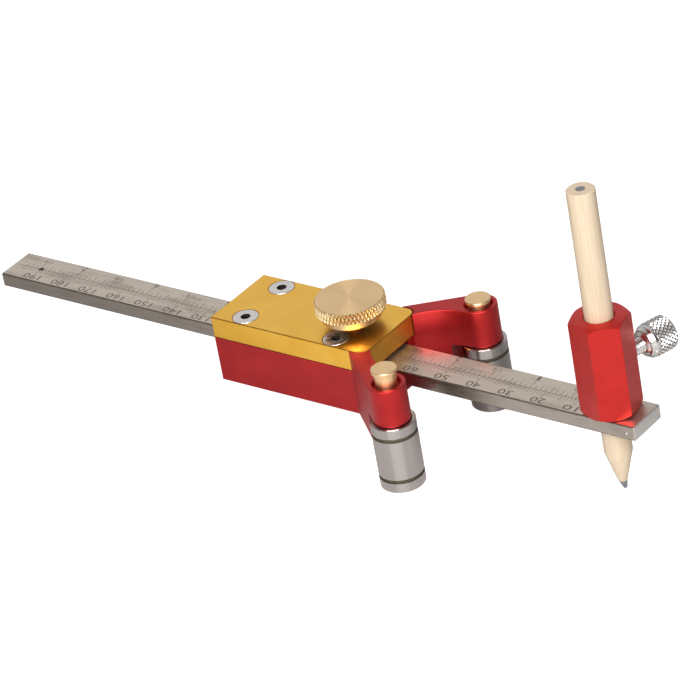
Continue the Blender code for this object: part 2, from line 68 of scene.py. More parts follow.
# Fine fits and edges, and how finely round forms are divided
HAIRLINE = 0.01 * MM
OVERRUN = 1 * MM
ROUND_STEPS = 96
TINY_STEPS = 24
SCREW_HOLE_STEPS = 32
HOLE_STEPS = 48
SCREW_STEPS = 64
PIN_STEPS = 72
ROLLER_STEPS = 128
BARREL_STEPS = 144
FILLET_STEPS = 16
EDGE_STEPS = 3
EASE_LIMIT = 0.45
TURNED_EDGE = 0.1 * MM
FLAT_WEIGHT = 80

# An edge sharper than the first angle shows as sharp, and than the second is rounded
SHARP_ANGLE = math.radians(38)
SOFT_ANGLE = math.radians(50)

# Ruler
BEAM_EDGE = 0.3 * MM
COMPASS_HOLE_DIAMETER = 1.5 * MM
COMPASS_HOLE_INSET = 9.7 * MM
DIMPLE_DIAMETER = 0.9 * MM
DIMPLE_DEPTH = 0.4 * MM
DIMPLE_INSET = 2.2 * MM
SPIGOT_DIAMETER = 9.9 * MM
SPIGOT_FIT = 0.05 * MM

# How squarely a face looks along the ruler to be an end, or across it to be a side
END_FACING = 0.2
SIDE_FACING = 0.98

# Scale on the ruler: millimetres to the near edge, inches to the far edge, both from the pencil
INCH = 25.4 * MM
INK_SUNK = 0.02 * MM
INK_PROUD = 0.008 * MM
LINE_WIDTH = 0.15 * MM
FIRST_TICK = 8 * MM
LAST_MILLIMETRE = 196
LAST_SIXTEENTH = 123
SCALE_END_INSET = 1.2 * MM
MILLIMETRE_TICK = 1.55 * MM
FIVE_TICK = 2.1 * MM
TEN_TICK = 2.85 * MM
INCH_TICKS = {1: 1.35 * MM, 2: 1.95 * MM, 4: 2.4 * MM, 8: 3.0 * MM, 16: 3.6 * MM}
FIGURE_HEIGHT = 2.3 * MM
FIGURE_PLACE = 3.0 * MM
FIGURE_WIDTHS = {1: 1.5 * MM, 2: 4.2 * MM, 3: 5.6 * MM}
INCH_FIGURE_HEIGHT = 1.9 * MM
INCH_FIGURE_PLACE = 3.75 * MM
HALF_FIGURE_HEIGHT = 1.3 * MM
HALF_FIGURE_WIDTH = 2.6 * MM
HALF_FIGURE_PLACE = 3.3 * MM
INCH_ONE_SHARE = 0.5

# Pencil holder
HOLDER_FLATS = 14 * MM
HOLDER_TURN = math.radians(12.4)
HOLDER_END_DIAMETER = 13.4 * MM
HOLDER_CHAMFER_ANGLE = math.radians(35)
HOLDER_EDGE = 0.12 * MM
HOLDER_BORE_EDGE = 0.3 * MM
PENCIL_FIT = 0.12 * MM

# Pencil
PENCIL_CONE_LENGTH = 8.9 * MM
LEAD_CONE_LENGTH = 2.4 * MM
LEAD_DIAMETER = 2.5 * MM
LEAD_TIP_DIAMETER = 1.1 * MM
LEAD_TIP_FLAT = 0.7
LEAD_TIP_DOME = 0.02 * MM
LEAD_TIP_EDGE = 0.25 * MM
LEAD_FACET = 0.3 * MM
LEAD_WORN = 0.5 * MM
LEAD_PROUD = 0.02 * MM
PENCIL_EDGE = 0.3 * MM

# Thumb screw, along its own axis out of the holder's back face
THUMB_TURN = HOLDER_TURN + math.radians(60)
THUMB_DROP = 14.1 * MM
THUMB_SHANK_DIAMETER = 4.2 * MM
THUMB_THREAD_DEPTH = 0.3 * MM
THUMB_THREAD_PITCH = 0.7 * MM
THUMB_NECK_LENGTH = 4.4 * MM
THUMB_FLARE_DIAMETER = 4.8 * MM
THUMB_FLARE_LENGTH = 1.5 * MM
THUMB_STEP_DIAMETER = 6.4 * MM
THUMB_RIM_DIAMETER = 8.8 * MM
THUMB_RIM_WIDTH = 1.2 * MM
THUMB_HEAD_DIAMETER = 9.4 * MM
THUMB_HEAD_LENGTH = 6.0 * MM
THUMB_HEAD_EDGE = 0.4 * MM

# Slider block and arms
BLOCK_SIDE_TOP = 2.65 * MM
CORNER_RADIUS = 3.8 * MM
FAR_CORNER_RADIUS = 2.6 * MM
BLOCK_EDGE = 0.25 * MM
SEAM_HALF = 0.012 * MM
NEST_FIT = 0.28 * MM
CHANNEL_FIT = 0.12 * MM
BOSS_DIAMETER = 10 * MM
BOSS_HEIGHT = 10.65 * MM
ARM_OUTER_ANGLE = math.radians(39.5)
ARM_OUTER_FILLET = 1.5 * MM
ARM_INNER_RADIUS = 17 * MM
RELIEF_DIAMETER = 17.6 * MM
RELIEF_FORWARD = 1.3 * MM
RELIEF_INWARD = 1.5 * MM
PIN_FIT = 0.1 * MM
PIN_SEAT_DEPTH = 1.5 * MM
PIN_SEAT_DIAMETER = 7.6 * MM
PIN_SEAT_EDGE = 0.25 * MM

# Cover plate and screws
PLATE_EDGE = 0.22 * MM
SCREW_HEAD_DIAMETER = 7.0 * MM
SCREW_PROUD = 0.05 * MM
SCREW_GAP = 0.2 * MM
SCREW_GAP_DEPTH = 0.5 * MM
SCREW_CORE_DIAMETER = 3.4 * MM
SCREW_HEAD_EDGE = 0.18 * MM
SCREW_LAND = 0.35 * MM
SCREW_TIP_EDGE = 0.4 * MM
SOCKET_FLATS = 2.5 * MM
SOCKET_DEPTH = 1.6 * MM
SOCKET_MOUTH = 2.75 * MM
SOCKET_MOUTH_SLOPE = 0.5
SOCKET_SHADE_REACH = 0.6 * SOCKET_FLATS
STRIP_POCKET_FIT = 0.3 * MM
STRIP_TRAVEL = 0.6 * MM

# Knob
KNOB_KNURL_HEIGHT = 3.5 * MM
KNOB_EDGE = 0.3 * MM
KNOB_EASE = 0.2 * MM
KNOB_SHOULDER_DIAMETER = 16.4 * MM
KNOB_SHOULDER_HEIGHT = 2.0 * MM
KNOB_FLARE_HEIGHT = 1.1 * MM
KNOB_UNDER_DIAMETER = 13.2 * MM
STUD_DIAMETER = 5 * MM
STUD_FIT = 0.15 * MM
STUD_TIP_EDGE = 0.6 * MM

# Diamond knurls
KNURL_PITCH = 1.08 * MM
KNURL_DEPTH = 0.42 * MM
KNURL_HELIX = math.radians(20)
THUMB_KNURL_PITCH = 1.3 * MM
THUMB_KNURL_DEPTH = 0.34 * MM
THUMB_KNURL_HELIX = math.radians(42)
KNURL_STEPS = 6
PEAK_FLAT = 1.3

# The height in a knurl, roughened by noise, at which its painted groove shade ends and its full shine begins
KNURL_GROOVE_SHADE = (0.45, 1.2)

# Rollers and pins
ROLLER_WALL = 1.0 * MM
ROLLER_EDGE = 0.15 * MM
GROOVE_SPACING = 13.5 * MM
GROOVE_WIDTH = 1.1 * MM
GROOVE_DEPTH = 0.3 * MM
SEAL_LIP = 0.05 * MM
SEAL_RIM = 0.4 * MM
SEAL_SLOPE = 0.3 * MM
SEAL_LIP_WIDTH = 0.5 * MM
PIN_HEAD_HEIGHT = 1.0 * MM
PIN_HEAD_EDGE = 0.15 * MM
PIN_NECK_DIAMETER = 5.8 * MM
PIN_END_EDGE = 0.5 * MM

# Camera, floor and light
CAMERA_PLACE = (0.53109, -0.70493, 0.54929)
CAMERA_AZIMUTH = math.radians(41.66)
CAMERA_ELEVATION = math.radians(30.09)
CAMERA_ROLL = math.radians(-10.42)
CAMERA_LENS = 219.84
CAMERA_SENSOR = 36.0
FLOOR_SIZE = 8.0
FLOOR_GAP = 0.0002
FLOOR_LIFT = 0.9
STIPPLE = 0.1

# The floor's colour darkens this way, between two distances: painted shade that shows in its mirror image
SHADE_WAY = (-0.4, 0.9, 0)
FLOOR_SHADE = (-0.01, 0.055)

# Soft boxes: azimuth and elevation in degrees, width and height in metres, power in watts
SOFT_BOXES = {"key": (-62, 35, (1.2, 1.3), 42.0), "strip": (-32, 35, (0.16, 1.3), 8.0)}
BOX_DISTANCE = 1.6

# The room brightens towards this wall, as the cosine of the angle from it rises between two limits
BRIGHT_WALL = (-0.575, 0.646, 0.501)
WALL_SPREAD = (0.1, 0.9)
ROOM_LEVEL = 0.15
WALL_LEVEL = 0.75


def corners(node):
    """Lowest corner, highest corner and middle of a frame node."""
    low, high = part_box(node)
    return low, high, (low + high) / 2


beam_low, beam_high, beam_middle = corners("ruler_beam")
plate_low, plate_high, _ = corners("cover_plate")
block_low = corners("slider_block")[0]
knob_low, knob_high, knob_middle = corners("lock_knob")
holder_high = corners("pencil_holder")[1]
strip_low, strip_high, _ = corners("pressure_strip")
pencil_low, pencil_high, pencil_middle = corners("pencil_wood")
PENCIL_X = pencil_middle.x
BLOCK_FRONT = plate_high.x
BLOCK_BACK = plate_low.x
BLOCK_WIDTH = plate_high.y - plate_low.y
PLATE_TOP = plate_high.z
ARM_TOP = PLATE_TOP
BOSS_BOTTOM = ARM_TOP - BOSS_HEIGHT
SEAM = (plate_low.z + BLOCK_SIDE_TOP) / 2
SCREW_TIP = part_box("cover_screw_1")[0].z
SCREW_SPOTS = [(*corners(f"cover_screw_{number}")[2].xy, 0) for number in range(1, 5)]


# Finishes


def linear(code):
    """The linear colour of an sRGB hex value, with full opacity."""
    parts = [int(code[place:place + 2], 16) / 255 for place in (1, 3, 5)]
    bright = [part / 12.92 if part <= 0.04045 else ((part + 0.055) / 1.055) ** 2.4 for part in parts]
    return (*bright, 1)


def add_node(tree, kind, inputs=None, **settings):
    """Adds a node; each input is a value or the socket that feeds it."""
    made = tree.nodes.new(kind)
    for name, value in settings.items():
        setattr(made, name, value)
    for name, value in (inputs or {}).items():
        if isinstance(value, bpy.types.NodeSocket):
            tree.links.new(value, made.inputs[name])
        else:
            made.inputs[name].default_value = value
    return made


def surface(name, **shares):
    """A new material, its node tree, its shader and the point on the piece."""
    made = bpy.data.materials.new(name)
    made.use_nodes = True
    tree = made.node_tree
    shader = tree.nodes["Principled BSDF"]
    for share, value in shares.items():
        shader.inputs[share.replace("_", " ").title().replace("Ior", "IOR")].default_value = value
    return made, tree, shader, add_node(tree, "ShaderNodeTexCoord").outputs["Object"]


def grain(tree, point, size, detail=2.0):
    """Noise whose grains have that real size along X, Y and Z."""
    scaled = add_node(tree, "ShaderNodeMapping", {"Vector": point, "Scale": [1 / side for side in size]})
    return add_node(tree, "ShaderNodeTexNoise", {"Vector": scaled.outputs[0], "Scale": 1.0,
                                                 "Detail": detail}).outputs["Fac"]


def tint(tree, shader, pattern, dark, light, low=0.3, high=0.7):
    """Colours the surface from dark to light by a pattern."""
    ramp = add_node(tree, "ShaderNodeValToRGB", {"Fac": pattern})
    ramp.color_ramp.elements[0].position = low
    ramp.color_ramp.elements[0].color = linear(dark)
    ramp.color_ramp.elements[1].position = high
    ramp.color_ramp.elements[1].color = linear(light)
    tree.links.new(ramp.outputs["Color"], shader.inputs["Base Color"])


def polish(tree, shader, pattern, smooth, rough, low=0.3, high=0.7):
    """Varies the roughness between two values by a pattern."""
    spread = add_node(tree, "ShaderNodeMapRange", {"Value": pattern, "From Min": low, "From Max": high,
                                                   "To Min": smooth, "To Max": rough})
    tree.links.new(spread.outputs[0], shader.inputs["Roughness"])


def relief(tree, shader, pattern, depth, strength):
    """Raises the pattern by that depth."""
    bump = add_node(tree, "ShaderNodeBump", {"Height": pattern, "Distance": depth, "Strength": strength})
    tree.links.new(bump.outputs["Normal"], shader.inputs["Normal"])


def brushed_stainless(name, dark, light, smooth, rough):
    """Stainless bar, belt brushed along its length: warm grey with long fine streaks."""
    made, tree, shader, point = surface(name, metallic=1.0)
    streak = grain(tree, point, (14 * MM, 0.22 * MM, 0.22 * MM), 3.0)
    cloud = grain(tree, point, (9 * MM, 3 * MM, 3 * MM))
    both = add_node(tree, "ShaderNodeMath", {0: streak, 1: cloud}, operation="ADD").outputs[0]
    tint(tree, shader, both, dark, light, 0.7, 1.3)
    polish(tree, shader, streak, smooth, rough)
    relief(tree, shader, streak, 0.004 * MM, 0.6)
    return made


def mottled(name, metallic, size, colours, roughness, detail=2.0, bumps=None):
    """A finish whose colour and roughness follow one noise pattern, with its grain size in mm.

    Bumps, where a finish has them, are a depth and a strength.
    """
    made, tree, shader, point = surface(name, metallic=metallic)
    pattern = grain(tree, point, [side * MM for side in size], detail)
    tint(tree, shader, pattern, *colours)
    polish(tree, shader, pattern, *roughness)
    if bumps:
        relief(tree, shader, pattern, *bumps)
    return made


def faced_stainless():
    """End face of the bar, milled and left bright, with faint cutter lines across it."""
    return mottled("faced_stainless", 1.0, (1.5, 4, 0.5), ("#C0BAB5", "#C8C2BD"), (0.27, 0.31))


def shaded_edge(name, dark, light):
    """Broken edge of a machined part, rougher than the faces beside it and coloured darker: painted shade
    that draws it as a dark line.
    """
    return mottled(name, 1.0, (0.7, 0.7, 0.7), (dark, light), (0.45, 0.6))


def blackened_etching():
    """Scale marks etched and filled black: matt, with the fill worn thin in places."""
    made, tree, shader, point = surface("blackened_etching", metallic=0.0)
    worn = grain(tree, point, (0.5 * MM, 0.5 * MM, 0.5 * MM))
    tint(tree, shader, worn, "#3A322C", "#6E635A", 0.35, 0.8)
    polish(tree, shader, worn, 0.5, 0.7)
    return made


def anodised(name, dark, light, rough, coat):
    """Anodised aluminium, bead blasted before it was dyed: an even satin metal with a frosted grain.

    The blasted grain is about 0.1 mm in life, and is drawn at 0.3 mm so that it shows.
    """
    made, tree, shader, point = surface(name, metallic=1.0, coat_weight=coat, coat_roughness=0.35)
    cloud = grain(tree, point, (7 * MM, 7 * MM, 7 * MM))
    frost = grain(tree, point, (0.3 * MM, 0.3 * MM, 0.3 * MM), 3.0)
    tint(tree, shader, cloud, dark, light)
    polish(tree, shader, frost, rough - 0.04, rough + 0.05)
    relief(tree, shader, frost, 0.006 * MM, 0.35)
    return made


def from_axis(tree, point, start, way):
    """How far the surface lies from an axis that starts at a place and runs that way."""
    rel = add_node(tree, "ShaderNodeVectorMath", {0: point, 1: start}, operation="SUBTRACT")
    along = add_node(tree, "ShaderNodeVectorMath", {0: rel.outputs[0], 1: way}, operation="PROJECT")
    off = add_node(tree, "ShaderNodeVectorMath", {0: rel.outputs[0], 1: along.outputs[0]},
                   operation="SUBTRACT")
    return add_node(tree, "ShaderNodeVectorMath", {0: off.outputs[0]}, operation="LENGTH").outputs["Value"]


def turning_marks(tree, point, start, width):
    """Rings of that width about an upright axis, as a lathe tool or a grinding wheel leaves them."""
    height = add_node(tree, "ShaderNodeSeparateXYZ", {0: point}).outputs["Z"]
    off = from_axis(tree, point, start, (0, 0, 1))
    return grain(tree, add_node(tree, "ShaderNodeCombineXYZ", {"X": off, "Y": height}).outputs[0],
                 (width, width, 1), 3.0)


def ringed(name, start, fan, width, colours, roughness, bumps=None):
    """A round metal piece's finish: fine rings that fan each light out across their run."""
    made, tree, shader, point = surface(name, metallic=1.0, anisotropic=fan, anisotropic_rotation=0.25)
    around = add_node(tree, "ShaderNodeTangent", direction_type="RADIAL", axis="Z")
    tree.links.new(around.outputs[0], shader.inputs["Tangent"])
    ring = turning_marks(tree, point, start, width)
    tint(tree, shader, ring, *colours)
    polish(tree, shader, ring, *roughness)
    if bumps:
        relief(tree, shader, ring, *bumps)
    return made


def turned_brass(name, start, fan):
    """Brass turned on a lathe, with the fine rings that the tool leaves."""
    return ringed(name, start, fan, 0.3 * MM, ("#EDC896", "#F2D09F"), (0.32, 0.38))


def knurled(name, start, way, crest, depth, groove, peak, smooth, rough):
    """Rolled knurl: peaks burnished by fingers, coloured darker towards the roots, which is painted shade in
    the grooves between them.
    """
    made, tree, shader, point = surface(name, metallic=1.0)
    height = add_node(tree, "ShaderNodeMapRange", {"Value": from_axis(tree, point, start, way),
                                                   "From Min": crest - depth, "From Max": crest})
    speck = grain(tree, point, (0.3 * MM, 0.3 * MM, 0.3 * MM))
    both = add_node(tree, "ShaderNodeMath", {0: speck, 1: height.outputs[0]}, operation="ADD").outputs[0]
    # Painted shade: the colour darkens from the crest down into the grooves
    tint(tree, shader, both, groove, peak, *KNURL_GROOVE_SHADE)
    polish(tree, shader, both, rough, smooth, *KNURL_GROOVE_SHADE)
    return made


def oiled_socket():
    """Wall and floor of a hexagon socket, coloured near black: painted shade in the recess, with broaching
    marks.
    """
    return mottled("oiled_socket", 0.6, (0.4, 0.4, 0.8), ("#1E1B18", "#4A443E"), (0.3, 0.5))


def bright_nickel():
    """Nickel plate over a turned screw: near mirror, with faint clouds in the plating."""
    return mottled("bright_nickel", 1.0, (1.2, 1.2, 1.2), ("#C8C6C4", "#DCDAD8"), (0.16, 0.24))


def zinc_plate():
    """Bright zinc plate on the countersunk screws: pale silver, slightly cloudy."""
    return mottled("zinc_plate", 1.0, (0.9, 0.9, 0.9), ("#DAD6D5", "#E4E0DF"), (0.24, 0.38), 3.0,
                   (0.004 * MM, 0.4))


def ground_bearing_steel(name, start):
    """Bearing steel ground between centres, which draws each light out into upright bands."""
    return ringed(name, start, 1.0, 0.12 * MM, ("#A8A29E", "#BCB6B2"), (0.2, 0.23), (0.001 * MM, 0.3))


def heat_treated_groove():
    """Floor of the ring grooves, left unground after hardening: dull olive brown."""
    return mottled("heat_treated_groove", 0.8, (0.5, 0.5, 0.5), ("#4A4336", "#736A58"), (0.45, 0.6))


def pencil_basswood():
    """Bare sanded basswood: cream, with faint long fibres along the pencil."""
    return mottled("pencil_basswood", 0.0, (0.45, 0.45, 14), ("#B4A186", "#C1AF98"), (0.5, 0.62), 4.0,
                   (0.02 * MM, 0.35))


def fired_graphite():
    """Fired graphite lead: dark grey with a soft metallic gloss."""
    return mottled("fired_graphite", 0.35, (0.25, 0.25, 0.25), ("#4E4F52", "#85868A"), (0.28, 0.45), 2.0,
                   (0.02 * MM, 0.4))


def nitrile_seal():
    """Moulded nitrile rubber: near black and dull."""
    return mottled("nitrile_seal", 0.0, (0.6, 0.6, 0.6), ("#1C1C1C", "#2E2D2C"), (0.55, 0.7))


def acetal_cage():
    """Moulded black acetal, slightly waxy."""
    return mottled("acetal_cage", 0.0, (0.7, 0.7, 0.7), ("#232323", "#383736"), (0.35, 0.5))


def bronze_strip():
    """Rolled phosphor bronze: brown gold, with rolling streaks along it."""
    return mottled("bronze_strip", 1.0, (8, 0.3, 0.3), ("#A9733E", "#C8945A"), (0.3, 0.45))


def white_sweep():
    """Painted studio board: matt, with a trace of roller texture.

    The camera sees it white. Its colour darkens on one side, painted shade, so the object mirrors it pale on
    one side and darker on the other.
    """
    made, tree, shader, point = surface("white_sweep", metallic=0.0, emission_color=(1, 1, 1, 1),
                                        specular_ior_level=0.2)
    seen = add_node(tree, "ShaderNodeLightPath").outputs["Is Camera Ray"]
    level = add_node(tree, "ShaderNodeMath", {0: seen, 1: FLOOR_LIFT}, operation="MULTIPLY")
    tree.links.new(level.outputs[0], shader.inputs["Emission Strength"])
    stipple = grain(tree, point, (3 * MM, 3 * MM, 3 * MM))
    # Painted shade: the floor's colour darkens along SHADE_WAY
    depth = add_node(tree, "ShaderNodeVectorMath", {0: point, 1: SHADE_WAY}, operation="DOT_PRODUCT")
    lit = add_node(tree, "ShaderNodeMapRange", {"Value": depth.outputs["Value"], "From Min": FLOOR_SHADE[0],
                                                "From Max": FLOOR_SHADE[1], "To Min": 1.0, "To Max": 0.0},
                   interpolation_type="SMOOTHSTEP").outputs[0]
    mixed = add_node(tree, "ShaderNodeMath", {0: stipple, 1: STIPPLE, 2: lit}, operation="MULTIPLY_ADD")
    tint(tree, shader, mixed.outputs[0], "#969696", "#D2D2D2", 0.0, 1 + STIPPLE / 2)
    polish(tree, shader, stipple, 0.8, 0.9)
    return made


# Making shapes


def soften(made, width, steps=EDGE_STEPS, finish=-1):
    """Rounds the sharp edges that the piece has so far, in a finish of their own if one is given."""
    step = made.modifiers.new("edge", "BEVEL")
    step.width = width
    step.segments = steps
    step.limit_method = "ANGLE"
    step.angle_limit = SOFT_ANGLE
    step.material = finish


def combine(made, tool, operation="DIFFERENCE"):
    """Cuts a tool body from the piece, or joins or intersects the two."""
    tool.hide_render = True
    step = made.modifiers.new("combine", "BOOLEAN")
    step.operation = operation
    step.solver = "EXACT"
    step.object = tool


def body_of(name, mesh, place=(0, 0, 0), turn=None):
    """A bare object, for use as a piece or as a tool."""
    made = bpy.data.objects.new(name, mesh)
    bpy.context.scene.collection.objects.link(made)
    made.location = place
    if turn:
        made.rotation_euler = turn
    return made


def settle(made, tools=()):
    """Bakes the piece's modifiers and place into its mesh and removes its tools."""
    bpy.context.view_layer.update()
    graph = bpy.context.evaluated_depsgraph_get()
    mesh = bpy.data.meshes.new_from_object(made.evaluated_get(graph))
    mesh.transform(made.matrix_world)
    name = made.name
    for used in (made, *tools):
        bpy.data.objects.remove(used, do_unlink=True)
    mesh.name = name
    return mesh


def carve(made, tools):
    """Cuts all the tools from the piece and bakes it."""
    for tool in tools:
        combine(made, tool)
    return settle(made, tools)


def give_finishes(mesh, finishes):
    """Gives a mesh its finishes, unless it has them from its first blank."""
    if not mesh.materials:
        for finish in finishes:
            mesh.materials.append(finish)


def show(name, mesh, body, replaced, finishes):
    """Puts a finished mesh in the scene as the piece that stands for those nodes."""
    made = body_of(name, mesh)
    give_finishes(mesh, finishes)
    mesh.shade_smooth()
    mesh.set_sharp_from_angle(angle=SHARP_ANGLE)
    even = made.modifiers.new("even faces", "WEIGHTED_NORMAL")
    even.keep_sharp = True
    even.weight = FLAT_WEIGHT
    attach(made, body)
    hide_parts(*replaced)


def to_mesh(form, name):
    """Closes a form with its faces turned outwards."""
    bmesh.ops.recalc_face_normals(form, faces=form.faces)
    mesh = bpy.data.meshes.new(name)
    form.to_mesh(mesh)
    form.free()
    return mesh


def prism(name, outline, bottom, top):
    """Extrudes a plan outline between two heights."""
    form = bmesh.new()
    face = form.faces.new([form.verts.new((x, y, bottom)) for x, y in outline])
    raised = bmesh.ops.extrude_face_region(form, geom=[face])["geom"]
    moved = [item for item in raised if isinstance(item, bmesh.types.BMVert)]
    bmesh.ops.translate(form, verts=moved, vec=(0, 0, top - bottom))
    return to_mesh(form, name)


def arc(centre, radius, start, end, steps=FILLET_STEPS):
    """Points of an arc in plan, both ends included."""
    turn = (end - start) / steps
    angles = [start + turn * step for step in range(steps + 1)]
    return [(centre[0] + radius * math.cos(angle), centre[1] + radius * math.sin(angle)) for angle in angles]


def hexagon(flats, turn):
    """Plan of a hexagon of that width across its flats."""
    return arc((0, 0), flats / 2 / math.cos(math.pi / 6), turn + math.pi / 6, turn + math.pi * 11 / 6, 5)


def box_outline(x_low, x_high, width):
    """Plan of a bar along the ruler's middle line."""
    half = width / 2
    return [(x_low, -half), (x_high, -half), (x_high, half), (x_low, half)]


def eased(points, radius):
    """Rounds each corner of a profile of (radius, height, zone) points, but not its two ends."""
    rounded = []
    count = len(points)
    for number, (x, z, *zone) in enumerate(points):
        here = Vector((x, z))
        before = Vector(points[number - 1][:2]) - here
        after = Vector(points[(number + 1) % count][:2]) - here
        if number in (0, count - 1) or before.length == 0 or after.length == 0:
            rounded.append((x, z, *zone))
            continue
        cut = min(radius, before.length * EASE_LIMIT, after.length * EASE_LIMIT)
        first = here + before.normalized() * cut
        last = here + after.normalized() * cut
        for step in range(EDGE_STEPS + 1):
            share = step / EDGE_STEPS
            spot = first * (1 - share) ** 2 + here * 2 * share * (1 - share) + last * share ** 2
            rounded.append((spot.x, spot.y, *(zone if step else rounded_zone(rounded))))
    return rounded


def rounded_zone(rounded):
    """The zone that the profile had up to here."""
    return rounded[-1][2:] if rounded else ()


def turned(name, profile, steps=ROUND_STEPS, closed=False):
    """Revolves (radius, height, zone) points about Z.

    A radius may be a rule of the share of a full turn, as on a knurl. A zone is the finish's number
    on the face that ends at that point.
    """
    form = bmesh.new()
    rings = []
    for radius, height, *zone in profile:
        if radius == 0:
            rings.append([form.verts.new((0, 0, height))])
            continue
        ring = []
        for step in range(steps):
            share = step / steps
            reach = radius(share) if callable(radius) else radius
            angle = math.tau * share
            ring.append(form.verts.new((reach * math.cos(angle), reach * math.sin(angle), height)))
        rings.append(ring)
    pairs = list(zip(rings, rings[1:], profile[1:], profile))
    if closed:
        pairs.append((rings[-1], rings[0], profile[0], profile[-1]))
    for lower, upper, (radius, _, *zone), (radius_before, *_) in pairs:
        crossed = callable(radius) and callable(radius_before)
        for step in range(steps):
            a, b = lower[step % len(lower)], lower[(step + 1) % len(lower)]
            c, d = upper[(step + 1) % len(upper)], upper[step % len(upper)]
            loops = [list(dict.fromkeys((a, b, c, d)))]
            if crossed:
                reach = [math.hypot(*corner.co.xy) for corner in (a, b, c, d)]
                along = reach[0] + reach[2] < reach[1] + reach[3]
                loops = [[a, b, c], [a, c, d]] if along else [[a, b, d], [b, c, d]]
            for loop in loops:
                form.faces.new(loop).material_index = zone[0] if zone else 0
    return to_mesh(form, name)


def knurl(radius, depth, low, high, count, helix):
    """Rings of a diamond knurl between two heights."""
    tall = math.tau * radius / count / math.tan(helix)
    rows = max(KNURL_STEPS, round((high - low) / tall * KNURL_STEPS))

    def rule(row):
        """The rule of one row, where the nearer of two crossing ridges sets the radius."""
        def reach(share):
            """The radius at a share of a full turn."""
            lines = (count * share + row / KNURL_STEPS, count * share - row / KNURL_STEPS)
            near = min(abs(line - round(line)) for line in lines)
            return radius - depth * (1 - min(1, near * 2 * PEAK_FLAT))
        return reach

    return [(rule(row), low + (high - low) * row / rows, 1) for row in range(rows + 1)]


# The ruler and its scale


def make_ruler():
    """Flat bar with broken edges, the holder's seat, a compass hole and a punched dimple."""
    half = (beam_high.y - beam_low.y) / 2
    mesh = prism("ruler_bar", box_outline(beam_low.x, beam_high.x, 2 * half), beam_low.z, beam_high.z)
    give_finishes(mesh, [brushed_stainless("brushed_stainless", "#AEA194", "#D0C4B7", 0.32, 0.46),
                         faced_stainless(), shaded_edge("painted_shade_steel_edge", "#5E544C", "#786D63"),
                         brushed_stainless("ground_side_stainless_painted_shade", "#A0958B", "#AFA59B", 0.24, 0.28)])
    bar = body_of("ruler_bar", mesh)
    # The broken edges take the darker edge finish: painted shade, kept on the long edges only
    soften(bar, BEAM_EDGE, finish=2)
    tools = []
    holes = ((SPIGOT_DIAMETER + 2 * SPIGOT_FIT, PENCIL_X),
             (COMPASS_HOLE_DIAMETER, beam_low.x + COMPASS_HOLE_INSET))
    for diameter, x in holes:
        drill = turned("drill", [(0, beam_low.z - OVERRUN), (diameter / 2, beam_low.z - OVERRUN),
                                 (diameter / 2, beam_high.z + OVERRUN), (0, beam_high.z + OVERRUN)],
                       HOLE_STEPS)
        tools.append(body_of("drill", drill, (x, 0, 0)))
    dimple = DIMPLE_DIAMETER / 2
    punch = turned("punch", [(0, -DIMPLE_DEPTH), (dimple, 0), (dimple, DIMPLE_DEPTH), (0, DIMPLE_DEPTH)],
                   TINY_STEPS)
    tools.append(body_of("punch", punch, (beam_high.x - DIMPLE_INSET, beam_low.y, 0), (QUARTER, 0, 0)))
    mesh = carve(bar, tools)
    show("ruler_bar", mesh, "ruler", ["ruler_beam"], [])
    for face in mesh.polygons:
        if abs(face.normal.x) > END_FACING:
            face.material_index = 1
        # The sides are ground smoother than the top and coloured darker: painted shade
        elif abs(face.normal.y) > SIDE_FACING:
            face.material_index = 3


def add_bar(form, x, y_low, y_high, width):
    """One straight mark, a low bar let into the top of the ruler."""
    top = beam_high.z + INK_PROUD
    bottom = beam_high.z - INK_SUNK
    size = Matrix.Diagonal((width, y_high - y_low, top - bottom, 1))
    place = Matrix.Translation((x, (y_low + y_high) / 2, (top + bottom) / 2))
    bmesh.ops.create_cube(form, size=1, matrix=place @ size)


def add_figure(form, text, x, y_near, y_far, width):
    """One figure or fraction, read from the far side of the ruler."""
    curve = bpy.data.curves.new("figure", "FONT")
    curve.body = text
    curve.extrude = 1
    curve.resolution_u = 3
    letters = body_of("figure", curve)
    mesh = settle(letters)
    spots = [vertex.co for vertex in mesh.vertices]
    low = Vector([min(spot[axis] for spot in spots) for axis in range(3)])
    high = Vector([max(spot[axis] for spot in spots) for axis in range(3)])
    size = high - low
    height = INK_PROUD + INK_SUNK
    scale = Matrix.Diagonal((width / size.x, (y_far - y_near) / size.y, height / size.z, 1))
    place = Vector((x, (y_near + y_far) / 2, beam_high.z + (INK_PROUD - INK_SUNK) / 2))
    mesh.transform(Matrix.Translation(place) @ Matrix.Rotation(math.pi, 4, "Z") @ scale
                   @ Matrix.Translation(-(low + high) / 2))
    form.from_mesh(mesh)
    bpy.data.meshes.remove(mesh)


